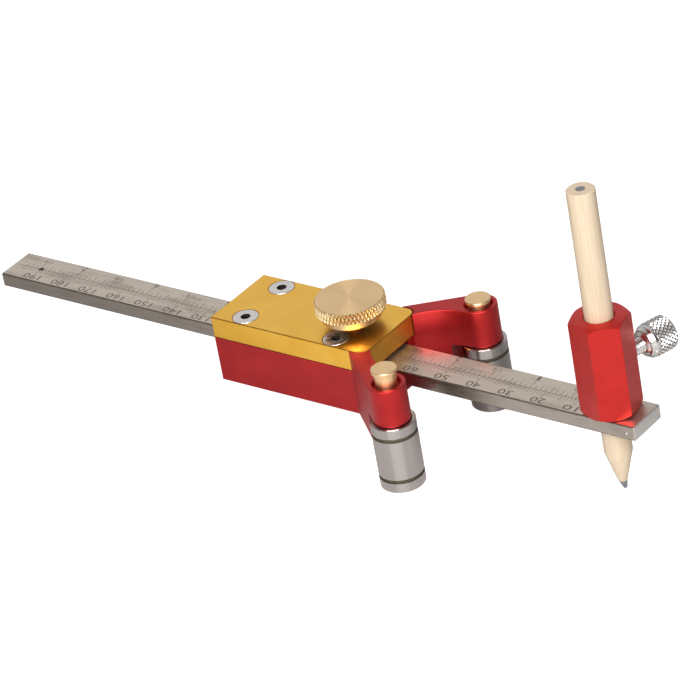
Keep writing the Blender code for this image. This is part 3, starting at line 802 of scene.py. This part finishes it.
def make_scale():
    """Millimetres and inches from the pencil, with the line between them."""
    form = bmesh.new()
    length = beam_high.x - beam_low.x - 2 * SCALE_END_INSET
    line = Matrix.Diagonal((length, LINE_WIDTH, INK_PROUD + INK_SUNK, 1))
    middle = Vector((beam_middle.x, 0, beam_high.z + (INK_PROUD - INK_SUNK) / 2))
    bmesh.ops.create_cube(form, size=1, matrix=Matrix.Translation(middle) @ line)
    for number in range(LAST_MILLIMETRE + 1):
        if number * MM >= FIRST_TICK:
            reach = TEN_TICK if number % 10 == 0 else FIVE_TICK if number % 5 == 0 else MILLIMETRE_TICK
            add_bar(form, PENCIL_X - number * MM, -reach, 0, LINE_WIDTH)
    for number in range(LAST_SIXTEENTH + 1):
        if number * INCH / 16 >= FIRST_TICK:
            reach = INCH_TICKS[math.gcd(number, 16)]
            add_bar(form, PENCIL_X - number * INCH / 16, 0, reach, LINE_WIDTH)
    for number in range(10, LAST_MILLIMETRE, 10):
        text = str(number)
        add_figure(form, text, PENCIL_X - number * MM, -FIGURE_PLACE - FIGURE_HEIGHT, -FIGURE_PLACE,
                   FIGURE_WIDTHS[len(text)])
    for number in range(1, LAST_SIXTEENTH // 8 + 1):
        x = PENCIL_X - number * INCH / 2
        if number % 2:
            add_figure(form, "1/2", x, HALF_FIGURE_PLACE, HALF_FIGURE_PLACE + HALF_FIGURE_HEIGHT,
                       HALF_FIGURE_WIDTH)
        else:
            width = FIGURE_WIDTHS[1] * (INCH_ONE_SHARE if number == 2 else 1)
            add_figure(form, str(number // 2), x, INCH_FIGURE_PLACE, INCH_FIGURE_PLACE + INCH_FIGURE_HEIGHT,
                       width)
    marks = to_mesh(form, "scale_marks")
    show("scale_marks", marks, "ruler", [], [blackened_etching()])


# Holder, thumb screw and pencil


def make_holder(red):
    """Hexagonal post with turned ends, a spigot in the ruler, the pencil's bore and a tapped side hole."""
    bottom = beam_high.z + HAIRLINE
    top = holder_high.z
    wide = HOLDER_FLATS / 2 / math.cos(math.pi / 6) + OVERRUN
    end = HOLDER_END_DIAMETER / 2
    slope = (wide - end) * math.tan(HOLDER_CHAMFER_ANGLE)
    hexed = prism("pencil_holder", hexagon(HOLDER_FLATS, HOLDER_TURN), bottom - OVERRUN, top + OVERRUN)
    post = body_of("hexagonal_holder", hexed, (PENCIL_X, 0, 0))
    soften(post, HOLDER_EDGE, 2)
    barrel = turned("barrel", [(0, bottom), (end, bottom), (wide, bottom + slope), (wide, top - slope),
                               (end, top), (0, top)], BARREL_STEPS)
    spigot = turned("spigot", [(0, beam_low.z), (SPIGOT_DIAMETER / 2, beam_low.z),
                               (SPIGOT_DIAMETER / 2, bottom + OVERRUN), (0, bottom + OVERRUN)])
    bore = (pencil_high.y - pencil_low.y) / 2 + PENCIL_FIT
    mouth = bore + HOLDER_BORE_EDGE
    reamer = turned("reamer", [(0, beam_low.z - OVERRUN), (bore, beam_low.z - OVERRUN),
                               (bore, top - HOLDER_BORE_EDGE), (mouth, top), (mouth, top + OVERRUN),
                               (0, top + OVERRUN)])
    shank = THUMB_SHANK_DIAMETER / 2
    tap = turned("tap", [(0, bore / 2), (shank, bore / 2), (shank, wide), (0, wide)], HOLE_STEPS)
    place = (PENCIL_X, 0, 0)
    tools = [body_of("barrel", barrel, place), body_of("spigot", spigot, place),
             body_of("reamer", reamer, place),
             body_of("tap", tap, (PENCIL_X, 0, top - THUMB_DROP), (0, QUARTER, THUMB_TURN))]
    for tool, operation in zip(tools, ("INTERSECT", "UNION", "DIFFERENCE", "DIFFERENCE")):
        combine(post, tool, operation)
    show("hexagonal_holder", settle(post, tools), "ruler", ["pencil_holder"], [red])


def make_thumb_screw():
    """Knurled head, stepped flare and threaded shank, turned about the screw's own axis."""
    way = (math.cos(THUMB_TURN), math.sin(THUMB_TURN), 0)
    place = (PENCIL_X, 0, holder_high.z - THUMB_DROP)
    radius = THUMB_HEAD_DIAMETER / 2
    # The knurl's groove colour is painted shade
    rolled = knurled("knurled_nickel", place, way, radius, THUMB_KNURL_DEPTH, "#5A5654", "#D2D0CE",
                     0.26, 0.4)
    start = (pencil_high.y - pencil_low.y) / 2 + 2 * PENCIL_FIT
    shank = THUMB_SHANK_DIAMETER / 2 - HAIRLINE
    face = HOLDER_FLATS / 2
    neck = face + THUMB_NECK_LENGTH
    flare = neck + THUMB_FLARE_LENGTH
    head = flare + THUMB_RIM_WIDTH
    tip = head + THUMB_HEAD_LENGTH
    rim = THUMB_RIM_DIAMETER / 2
    root = radius - THUMB_KNURL_DEPTH
    step = THUMB_STEP_DIAMETER / 2
    stem = [(0, start), (shank, start), (shank, face)]
    turns = int(THUMB_NECK_LENGTH / THUMB_THREAD_PITCH)
    for number in range(turns):
        base = face + number * THUMB_THREAD_PITCH
        stem += [(shank - THUMB_THREAD_DEPTH, base + THUMB_THREAD_PITCH / 2),
                 (shank, base + THUMB_THREAD_PITCH)]
    stem += [(shank, neck), (THUMB_FLARE_DIAMETER / 2, neck), (step, flare - THUMB_FLARE_LENGTH / 2),
             (step + THUMB_HEAD_EDGE, flare - THUMB_FLARE_LENGTH / 2), (rim - THUMB_HEAD_EDGE, flare),
             (rim, flare + THUMB_HEAD_EDGE), (rim, head), (root, head + HAIRLINE)]
    count = round(math.tau * radius / THUMB_KNURL_PITCH)
    rows = knurl(radius, THUMB_KNURL_DEPTH, head + THUMB_HEAD_EDGE / 2, tip - THUMB_HEAD_EDGE, count,
                 THUMB_KNURL_HELIX)
    end = [(root, tip - THUMB_HEAD_EDGE / 2), (root - THUMB_HEAD_EDGE / 2, tip), (0, tip)]
    mesh = turned("thumb_screw_turned", eased(stem, TURNED_EDGE) + rows + end, KNURL_STEPS * count)
    screw = body_of("thumb_screw_turned", mesh, place, (0, QUARTER, THUMB_TURN))
    show("knurled_thumb_screw", settle(screw), "thumb", ["thumb_screw"],
         [bright_nickel(), rolled])


def make_pencil():
    """Round stick cut to a cone at its end, and the lead through it, worn to one side at its point."""
    wood_radius = (pencil_high.y - pencil_low.y) / 2
    lead = LEAD_DIAMETER / 2
    lead_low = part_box("pencil_lead")[0].z
    top = pencil_high.z
    cone_end = lead_low + LEAD_CONE_LENGTH
    cone_top = cone_end + PENCIL_CONE_LENGTH
    wood = [(lead, top), (lead, cone_end + HAIRLINE), (lead + HAIRLINE, cone_end),
            (wood_radius, cone_top), (wood_radius, top - PENCIL_EDGE), (wood_radius - PENCIL_EDGE, top)]
    stick = body_of("stick", turned("stick", wood, closed=True), (PENCIL_X, 0, 0))
    show("basswood_pencil", settle(stick), "pencil", ["pencil_wood"], [pencil_basswood()])
    core = lead - HAIRLINE
    blunt = LEAD_TIP_DIAMETER / 2
    point = [(0, lead_low), (blunt * LEAD_TIP_FLAT, lead_low + LEAD_TIP_DOME),
             (blunt, lead_low + LEAD_TIP_EDGE), (core, cone_end), (core, top + LEAD_PROUD),
             (0, top + LEAD_PROUD)]
    rod = body_of("rod", turned("rod", point, TINY_STEPS), (PENCIL_X, 0, 0))
    for vertex in rod.data.vertices:
        if vertex.co.z < lead_low + LEAD_FACET:
            vertex.co.x += LEAD_WORN
    show("graphite_core", settle(rod), "pencil", ["pencil_lead"], [fired_graphite()])


# Slider block, cover plate and screws


def mirrored(outline):
    """Adds the other half of a plan outline that runs from back to front at +Y."""
    return outline + [(x, -y) for x, y in reversed(outline)]


def plate_outline(grown=0.0, back=BLOCK_BACK):
    """Plan of the cover plate, or of the nest that is grown round it."""
    half = BLOCK_WIDTH / 2
    far = (BLOCK_FRONT - FAR_CORNER_RADIUS, half - FAR_CORNER_RADIUS)
    near = (BLOCK_FRONT - CORNER_RADIUS, CORNER_RADIUS - half)
    corner_points = (arc(far, FAR_CORNER_RADIUS + grown, QUARTER, 0)
                     + arc(near, CORNER_RADIUS + grown, 0, -QUARTER))
    return [(back, half + grown), *corner_points, (back, -half - grown)]


def block_outline(roller):
    """The block with both arms in plan: walls tangent to the bosses, with fillets at their roots."""
    half = BLOCK_WIDTH / 2
    radius = BOSS_DIAMETER / 2
    out = Vector((-math.sin(ARM_OUTER_ANGLE), math.cos(ARM_OUTER_ANGLE)))
    reach = out.dot(roller) + radius + ARM_OUTER_FILLET
    fillet_y = half + ARM_OUTER_FILLET
    fillet_x = (out.y * fillet_y - reach) / -out.x
    points = [(BLOCK_BACK, half)]
    points += arc((fillet_x, fillet_y), ARM_OUTER_FILLET, -QUARTER, -QUARTER + ARM_OUTER_ANGLE)
    points += arc(roller, radius, QUARTER + ARM_OUTER_ANGLE, -QUARTER, 3 * FILLET_STEPS)
    inner = (roller.x, roller.y - radius - ARM_INNER_RADIUS)
    root = math.asin((roller.x - BLOCK_FRONT) / ARM_INNER_RADIUS)
    points += arc(inner, ARM_INNER_RADIUS, QUARTER, QUARTER + root)[1:]
    return mirrored(points)


def make_block(red):
    """One block with both arms, cut for the ruler, the cover plate, its screws and the rollers."""
    middle = corners("roller_sleeve_far")[2]
    roller = Vector((middle.x, middle.y))
    block = body_of("anodised_block", prism("anodised_block", block_outline(roller), block_low.z, ARM_TOP))
    soften(block, BLOCK_EDGE)
    nest = prism("nest", plate_outline(NEST_FIT, BLOCK_BACK - OVERRUN), SEAM - SEAM_HALF, ARM_TOP + OVERRUN)
    channel = prism("channel", box_outline(BLOCK_BACK - OVERRUN, BLOCK_FRONT + OVERRUN,
                                           beam_high.y - beam_low.y + 2 * CHANNEL_FIT),
                    beam_low.z - CHANNEL_FIT, SEAM + OVERRUN)
    tools = [body_of("nest", nest), body_of("channel", channel)]
    cutter = turned("relief", [(0, block_low.z - OVERRUN), (RELIEF_DIAMETER / 2, block_low.z - OVERRUN),
                               (RELIEF_DIAMETER / 2, BOSS_BOTTOM), (0, BOSS_BOTTOM)], ROLLER_STEPS)
    bore = PIN_NECK_DIAMETER / 2 + PIN_FIT
    seat = PIN_SEAT_DIAMETER / 2
    floor = ARM_TOP - PIN_SEAT_DEPTH
    rim = seat + PIN_SEAT_EDGE
    drill = turned("pin drill", [(0, BOSS_BOTTOM - OVERRUN), (bore, BOSS_BOTTOM - OVERRUN), (bore, floor),
                                 (seat, floor), (seat, ARM_TOP - PIN_SEAT_EDGE), (rim, ARM_TOP),
                                 (rim, ARM_TOP + OVERRUN), (0, ARM_TOP + OVERRUN)])
    core = SCREW_CORE_DIAMETER / 2 + HAIRLINE
    end = SCREW_TIP - HAIRLINE
    tapped = turned("tapped", [(0, end), (core, end), (core, SEAM + OVERRUN), (0, SEAM + OVERRUN)],
                    SCREW_HOLE_STEPS)
    tools += [body_of("tapped", tapped, spot) for spot in SCREW_SPOTS]
    for side in (-1, 1):
        spot = (roller.x + RELIEF_FORWARD, side * (roller.y - RELIEF_INWARD), 0)
        tools.append(body_of("relief", cutter, spot))
        tools.append(body_of("pin drill", drill, (roller.x, side * roller.y, 0)))
    show("anodised_block", carve(block, tools), "slider", ["slider_block"], [red])


def make_plate(gold):
    """Flat plate, countersunk for its screws, tapped for the knob, with a pocket for the strip."""
    blank = prism("anodised_plate", plate_outline(), SEAM + SEAM_HALF, PLATE_TOP)
    give_finishes(blank, [gold, shaded_edge("painted_shade_gold_edge", "#8A5E20", "#A8762C")])
    plate = body_of("anodised_plate", blank)
    # The broken edges take the darker edge finish: painted shade
    soften(plate, PLATE_EDGE, finish=1)
    head = SCREW_HEAD_DIAMETER / 2
    mouth = head + SCREW_GAP
    core = SCREW_CORE_DIAMETER / 2 + HAIRLINE
    cone_top = PLATE_TOP + SCREW_PROUD - SCREW_LAND
    step = PLATE_TOP - SCREW_GAP_DEPTH
    sink = turned("countersink", [(0, SEAM - OVERRUN), (core, SEAM - OVERRUN),
                                  (core, cone_top - (head - core)),
                                  (head + HAIRLINE - (cone_top - step), step), (mouth, step),
                                  (mouth, PLATE_TOP + OVERRUN), (0, PLATE_TOP + OVERRUN)], SCREW_STEPS)
    tools = [body_of("countersink", sink, spot) for spot in SCREW_SPOTS]
    tapped = STUD_DIAMETER / 2 + STUD_FIT
    tools.append(body_of("tapped", turned("tapped", [
        (0, SEAM - OVERRUN), (tapped, SEAM - OVERRUN), (tapped, PLATE_TOP + OVERRUN),
        (0, PLATE_TOP + OVERRUN)], HOLE_STEPS), (knob_middle.x, 0, 0)))
    pocket = prism("pocket", box_outline(strip_low.x - STRIP_POCKET_FIT, strip_high.x + STRIP_POCKET_FIT,
                                         strip_high.y - strip_low.y + 2 * STRIP_POCKET_FIT),
                   SEAM - OVERRUN, strip_high.z + STRIP_TRAVEL + STRIP_POCKET_FIT)
    tools.append(body_of("pocket", pocket))
    show("anodised_plate", carve(plate, tools), "slider", ["cover_plate"], [])


def make_screws(zinc, socket_shade):
    """Countersunk heads with a turned lead-in round each hexagon socket."""
    top = PLATE_TOP + SCREW_PROUD
    land = top - SCREW_LAND
    head = SCREW_HEAD_DIAMETER / 2
    core = SCREW_CORE_DIAMETER / 2
    mouth = SOCKET_MOUTH / 2
    dome = arc((head - SCREW_HEAD_EDGE, top - SCREW_HEAD_EDGE), SCREW_HEAD_EDGE, 0, QUARTER, 2 * EDGE_STEPS)
    profile = [(0, SCREW_TIP), (core - SCREW_TIP_EDGE, SCREW_TIP), (core, SCREW_TIP + SCREW_TIP_EDGE),
               (core, land - (head - core)), (head, land), *dome, (0, top)]
    for number, spot in enumerate(SCREW_SPOTS, 1):
        screw = body_of("screw", turned("screw", profile, SCREW_STEPS), spot)
        key = prism("key", hexagon(SOCKET_FLATS, number), top - SOCKET_DEPTH, top + OVERRUN)
        lead_in = turned("lead in", [(0, top - mouth * SOCKET_MOUTH_SLOPE), (mouth, top + HAIRLINE),
                                     (mouth, top + OVERRUN), (0, top + OVERRUN)], HOLE_STEPS)
        mesh = carve(screw, [body_of("key", key, spot), body_of("lead in", lead_in, spot)])
        for face in mesh.polygons:
            reach = math.hypot(face.center.x - spot[0], face.center.y - spot[1])
            # Faces inside the socket take its near black finish: painted shade in the recess
            face.material_index = int(reach < SOCKET_SHADE_REACH and SCREW_TIP < face.center.z < top - HAIRLINE)
        show(f"countersunk_screw_{number}", mesh, "slider", [f"cover_screw_{number}"],
             [zinc, socket_shade])


# Knob, rollers and pins


def make_knob(brass, rolled_brass):
    """Turned knob: stud, flared underside, plain shoulder, knurled rim and flat top."""
    top = knob_high.z
    rim = (knob_high.x - knob_low.x) / 2
    rim_bottom = top - KNOB_KNURL_HEIGHT
    shoulder = rim_bottom - KNOB_SHOULDER_HEIGHT
    under = shoulder - KNOB_FLARE_HEIGHT
    waist = KNOB_SHOULDER_DIAMETER / 2
    stud = STUD_DIAMETER / 2
    root = rim - KNURL_DEPTH
    # The stud and the flared underside take the knurl's finish, which at their radius is its darkest groove
    # colour: painted shade under the knob
    stem = [(0, knob_low.z, 1), (stud - STUD_TIP_EDGE, knob_low.z, 1), (stud, knob_low.z + STUD_TIP_EDGE, 1),
            (stud, under, 1), (KNOB_UNDER_DIAMETER / 2, under, 1), (waist, shoulder, 0),
            (waist, rim_bottom, 0), (root - KNOB_EDGE / 2, rim_bottom, 0),
            (root, rim_bottom + KNOB_EDGE / 2, 0)]
    count = round(math.tau * rim / KNURL_PITCH)
    rows = knurl(rim, KNURL_DEPTH, rim_bottom + KNOB_EDGE, top - KNOB_EDGE, count, KNURL_HELIX)
    cap = [(root, top - KNOB_EDGE / 2, 1), (root - KNOB_EDGE, top, 0), (rim / 2, top, 0), (0, top, 0)]
    mesh = turned("brass_knob", eased(stem, KNOB_EASE) + rows + cap, KNURL_STEPS * count)
    knob = body_of("knob", mesh, (knob_middle.x, 0, 0))
    show("knurled_knob", settle(knob), "knob", ["lock_knob"], [brass, rolled_brass])


def make_roller(side, steel, groove_finish, rubber):
    """Ground sleeve with two ring grooves, and a lipped seal in each of its ends."""
    low, high, middle = corners(f"roller_sleeve_{side}")
    outer = (high.x - low.x) / 2
    inner = outer - ROLLER_WALL
    floor = outer - GROOVE_DEPTH
    first = (high.z - low.z - GROOVE_SPACING) / 2
    wall = []
    for start in (high.z - first, low.z + first + GROOVE_WIDTH):
        end = start - GROOVE_WIDTH
        wall += [(outer, start), (floor, start, 1), (floor, end, 1), (outer, end, 1)]
    profile = [(inner, high.z - ROLLER_EDGE), (inner + ROLLER_EDGE, high.z), (outer - ROLLER_EDGE, high.z),
               (outer, high.z - ROLLER_EDGE), *wall, (outer, low.z + ROLLER_EDGE, 0),
               (outer - ROLLER_EDGE, low.z), (inner + ROLLER_EDGE, low.z), (inner, low.z + ROLLER_EDGE)]
    place = (middle.x, middle.y, 0)
    body = f"{side}_roller"
    sleeve = body_of("sleeve", turned("sleeve", profile, ROLLER_STEPS, closed=True), place)
    show(f"ground_sleeve_{side}", settle(sleeve), body, [f"roller_sleeve_{side}"],
         [steel, groove_finish])
    bore = PIN_NECK_DIAMETER / 2 + SEAL_LIP
    wide = inner - HAIRLINE
    for end, name in ((1, "top"), (-1, "bottom")):
        node = f"roller_seal_{name}_{side}"
        seal_low, seal_high, _ = corners(node)
        lip_top, lip_base = (seal_high.z, seal_low.z) if end > 0 else (seal_low.z, seal_high.z)
        dish = lip_top - SEAL_SLOPE * end
        profile = [(wide, lip_base), (wide, lip_top), (wide - SEAL_RIM, lip_top),
                   (wide - SEAL_RIM - SEAL_SLOPE, dish), (bore + SEAL_LIP_WIDTH, dish),
                   (bore, (lip_top + dish) / 2), (bore, lip_base)]
        ring = body_of("seal", turned("seal", profile, closed=True), place)
        show(f"lipped_seal_{name}_{side}", settle(ring), body, [node], [rubber])


def make_pin(side, brass):
    """Headed axle pin, with broken edges."""
    low, high, middle = corners(f"roller_pin_{side}")
    head = (high.x - low.x) / 2
    neck = PIN_NECK_DIAMETER / 2
    base = high.z - PIN_HEAD_HEIGHT
    profile = [(0, low.z), (neck - PIN_END_EDGE, low.z), (neck, low.z + PIN_END_EDGE), (neck, base),
               (head, base), (head, high.z - PIN_HEAD_EDGE), (head - PIN_HEAD_EDGE, high.z), (0, high.z)]
    pin = body_of("pin", turned("pin", eased(profile, TURNED_EDGE), PIN_STEPS), (middle.x, middle.y, 0))
    show(f"headed_pin_{side}", settle(pin), f"{side}_pin", [f"roller_pin_{side}"], [brass])


# Studio


def make_studio():
    """Camera of the photograph, white floor, soft boxes on the camera's side and a pale room."""
    lens = bpy.data.cameras.new("camera")
    lens.lens = CAMERA_LENS
    lens.sensor_width = CAMERA_SENSOR
    camera = bpy.data.objects.new("camera", lens)
    bpy.context.scene.collection.objects.link(camera)
    flat = math.cos(CAMERA_ELEVATION)
    back = Vector((math.sin(CAMERA_AZIMUTH) * flat, -math.cos(CAMERA_AZIMUTH) * flat,
                   math.sin(CAMERA_ELEVATION)))
    camera.location = CAMERA_PLACE
    camera.rotation_mode = "QUATERNION"
    camera.rotation_quaternion = (-back).to_track_quat("-Z", "Y") @ Quaternion((0, 0, 1), CAMERA_ROLL)
    bpy.context.scene.camera = camera

    half = FLOOR_SIZE / 2
    form = bmesh.new()
    bmesh.ops.create_grid(form, x_segments=1, y_segments=1, size=half)
    floor = body_of("floor", to_mesh(form, "floor"), (0, 0, cad_box[0].z - FLOOR_GAP))
    floor.data.materials.append(white_sweep())

    for name, (azimuth, elevation, size, power) in SOFT_BOXES.items():
        add_light(name, azimuth, elevation, size, power)

    world = bpy.data.worlds.new("studio")
    bpy.context.scene.world = world
    world.use_nodes = True
    tree = world.node_tree
    room = tree.nodes["Background"]
    way = add_node(tree, "ShaderNodeTexCoord").outputs["Generated"]
    wall = add_node(tree, "ShaderNodeVectorMath", {0: way, 1: BRIGHT_WALL}, operation="DOT_PRODUCT")
    shade = add_node(tree, "ShaderNodeMapRange", {"Value": wall.outputs["Value"],
                                                  "From Min": WALL_SPREAD[0], "From Max": WALL_SPREAD[1],
                                                  "To Min": ROOM_LEVEL, "To Max": WALL_LEVEL})
    seen = add_node(tree, "ShaderNodeLightPath").outputs["Is Camera Ray"]
    level = add_node(tree, "ShaderNodeMapRange", {"Value": seen, "To Min": shade.outputs[0], "To Max": 1.0})
    tree.links.new(level.outputs[0], room.inputs["Strength"])
    room.inputs["Color"].default_value = (1, 1, 1, 1)
    bpy.context.scene.view_settings.view_transform = "Standard"


def add_light(name, azimuth, elevation, size, power):
    """A soft box, as wide and tall as its size says, that faces the middle of the ruler."""
    light = bpy.data.lights.new(name, "AREA")
    light.shape = "RECTANGLE"
    light.size, light.size_y = size
    light.energy = power
    made = bpy.data.objects.new(name, light)
    bpy.context.scene.collection.objects.link(made)
    flat = math.cos(math.radians(elevation))
    way = Vector((math.cos(math.radians(azimuth)) * flat, math.sin(math.radians(azimuth)) * flat,
                  math.sin(math.radians(elevation))))
    target = Vector((beam_middle.x, 0, 0))
    made.location = target + way * BOX_DISTANCE
    made.rotation_mode = "QUATERNION"
    made.rotation_quaternion = (-way).to_track_quat("-Z", "Y")


def refinish(node, finish):
    """Gives a frame node that stays its own finish."""
    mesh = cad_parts[node].data
    mesh.materials.clear()
    mesh.materials.append(finish)


make_studio()
make_ruler()
make_scale()
make_holder(anodised("red_anodised_holder", "#C2241E", "#CE2A24", 0.47, 0.4))
make_thumb_screw()
make_pencil()
make_block(anodised("red_anodised_block", "#B42426", "#C2282A", 0.47, 0.3))
make_plate(anodised("gold_anodised_plate", "#F4BC44", "#FAC652", 0.31, 0.15))
make_screws(zinc_plate(), oiled_socket())
knob_axis = (knob_middle.x, 0, 0)
# The knurl's groove colour is painted shade
rim_brass = knurled("knurled_brass", knob_axis, (0, 0, 1), (knob_high.x - knob_low.x) / 2, KNURL_DEPTH,
                    "#6A4722", "#FFE6B0", 0.28, 0.5)
make_knob(turned_brass("turned_knob_brass", knob_axis, 0.75), rim_brass)
unground = heat_treated_groove()
nitrile = nitrile_seal()
acetal = acetal_cage()
for side in SIDES:
    axis = corners(f"roller_sleeve_{side}")[2]
    make_roller(side, ground_bearing_steel(f"ground_bearing_steel_{side}", axis), unground, nitrile)
    make_pin(side, turned_brass(f"turned_pin_brass_{side}", axis, 0.5))
    refinish(f"roller_cage_{side}", acetal)
refinish("pressure_strip", bronze_strip())
